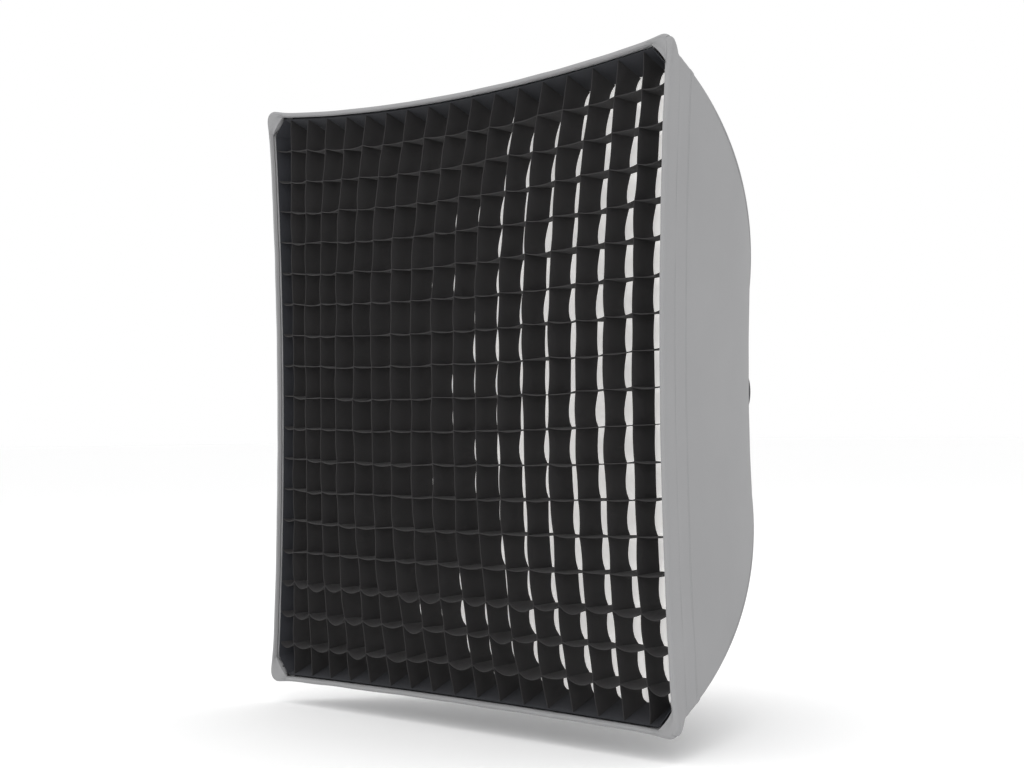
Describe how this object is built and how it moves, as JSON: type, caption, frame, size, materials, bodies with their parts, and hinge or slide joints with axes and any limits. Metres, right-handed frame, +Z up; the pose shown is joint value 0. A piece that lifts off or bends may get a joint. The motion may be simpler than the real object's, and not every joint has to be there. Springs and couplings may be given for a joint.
{
  "type": "grid softbox",
  "caption": "Square fabric softbox with a flared lip, egg-crate grid, removable diffusers, sprung corner rods and a rotating bayonet lamp mount.",
  "frame": {"origin": "centre of the lamp bore, in the plane that seats on the lamp", "axes": "+Y back towards the lamp along the bore axis, light leaves along -Y, +Z up, +X to the right seen from the front"},
  "size_m": [0.902, 0.614, 0.9035],
  "materials": {
    "insert_alloy": "turned satin",
    "plate_steel": "satin",
    "screw_steel": "satin",
    "ring_paint": "black powder coat",
    "rod_steel": "satin",
    "cap_rubber": "matte",
    "grey_cloth": "smooth coated cloth, silver inside",
    "grey_binding": "woven tape",
    "white_cloth": "matte translucent cloth",
    "black_cloth": "matte woven cloth",
    "black_tape": "hook-and-loop pile",
    "strap_elastic": "elastic webbing",
    "pad_nylon": "matte",
    "knob_plastic": "fine texture"
  },
  "bodies": {
    "light_mount": {"bayonet_insert": "insert_alloy", "insert_retaining_ring": "plate_steel", "retaining_screws": "screw_steel"},
    "softbox": {"speedring": "ring_paint", "rod_socket_top_left": "ring_paint", "rod_socket_top_right": "ring_paint", "rod_socket_bottom_left": "ring_paint", "rod_socket_bottom_right": "ring_paint", "socket_screws": "screw_steel", "rod_top_left": "rod_steel", "rod_top_right": "rod_steel", "rod_bottom_left": "rod_steel", "rod_bottom_right": "rod_steel", "rod_end_caps": "cap_rubber", "shell_panel_top": "grey_cloth", "shell_panel_bottom": "grey_cloth", "shell_panel_left": "grey_cloth", "shell_panel_right": "grey_cloth", "lip_panel_top": "grey_cloth", "lip_panel_bottom": "grey_cloth", "lip_panel_left": "grey_cloth", "lip_panel_right": "grey_cloth", "rim_binding_top": "grey_binding", "rim_binding_bottom": "grey_binding", "rim_binding_left": "grey_binding", "rim_binding_right": "grey_binding", "corner_pocket_top_left": "grey_cloth", "corner_pocket_top_right": "grey_cloth", "corner_pocket_bottom_left": "grey_cloth", "corner_pocket_bottom_right": "grey_cloth", "corner_gussets": "grey_cloth", "seam_bindings": "grey_binding", "rear_collar": "grey_cloth", "inner_baffle": "white_cloth", "baffle_straps": "strap_elastic", "rod_loops": "strap_elastic", "grid_loop_tapes": "black_tape", "diffuser_loop_tapes": "black_tape"},
    "lock_pad": {"clamp_pad": "pad_nylon"},
    "lock_knob": {"lock_stud": "screw_steel", "lock_knob": "knob_plastic"},
    "front_diffuser": {"front_diffuser": "white_cloth", "diffuser_hook_tapes": "black_tape"},
    "grid": {"grid_walls": "black_cloth", "grid_border": "black_cloth", "grid_hook_tapes": "black_tape"}
  },
  "joints": [
    {"name": "softbox_turn", "type": "hinge", "parent": "light_mount", "child": "softbox", "pos_m": [0, 0, 0], "axis": [0, 1, 0], "continuous": true},
    {"name": "pad_slide", "type": "slide", "parent": "softbox", "child": "lock_pad", "axis": [-1, 0, 0], "range_m": [0, 0.0017]},
    {"name": "knob_turn", "type": "hinge", "parent": "lock_pad", "child": "lock_knob", "pos_m": [-0.08, -0.011, 0], "axis": [-1, 0, 0], "range_deg": [0, 720]},
    {"name": "diffuser_pull", "type": "slide", "parent": "softbox", "child": "front_diffuser", "axis": [0, -1, 0], "range_m": [0, 0.1]},
    {"name": "grid_pull", "type": "slide", "parent": "front_diffuser", "child": "grid", "axis": [0, -1, 0], "range_m": [0, 0.15]}
  ],
  "couplings": [
    {"joint": "pad_slide", "follows": "knob_turn", "m_per_rad": 0.00012732}
  ]
}
